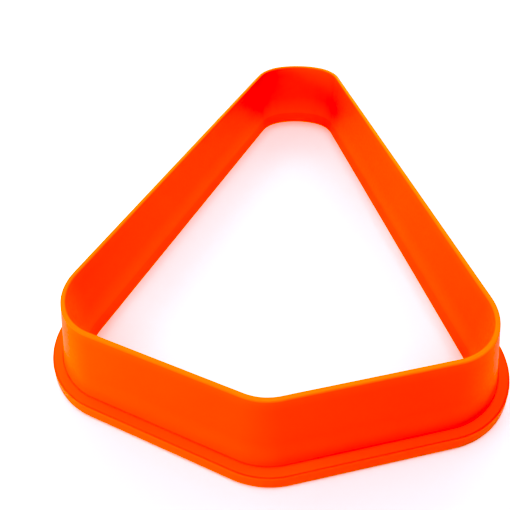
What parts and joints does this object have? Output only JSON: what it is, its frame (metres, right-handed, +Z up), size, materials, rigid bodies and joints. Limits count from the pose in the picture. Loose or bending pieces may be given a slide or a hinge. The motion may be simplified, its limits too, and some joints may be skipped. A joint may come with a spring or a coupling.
{
  "type": "open frame cutter",
  "caption": "Open five-sided plastic frame with a thin upright rim, a wall that thickens downwards and a flat outward foot; shallow point in front and a short bowed nose behind.",
  "frame": {"origin": "middle of the footprint, on the flat underside of the foot", "axes": "+Z up from the foot to the rim; +Y from the shallow point to the short nose, the longest extent; +X to the right seen from the point, and the frame is symmetrical about the YZ plane"},
  "size_m": [0.1072, 0.1438, 0.0213],
  "materials": {
    "orange_plastic": "smooth satin"
  },
  "bodies": {
    "root": {"front_corner": "orange_plastic", "front_right_wall": "orange_plastic", "right_corner": "orange_plastic", "right_long_wall": "orange_plastic", "nose_right_corner": "orange_plastic", "nose_wall": "orange_plastic", "nose_left_corner": "orange_plastic", "left_long_wall": "orange_plastic", "left_corner": "orange_plastic", "front_left_wall": "orange_plastic"}
  },
  "joints": []
}
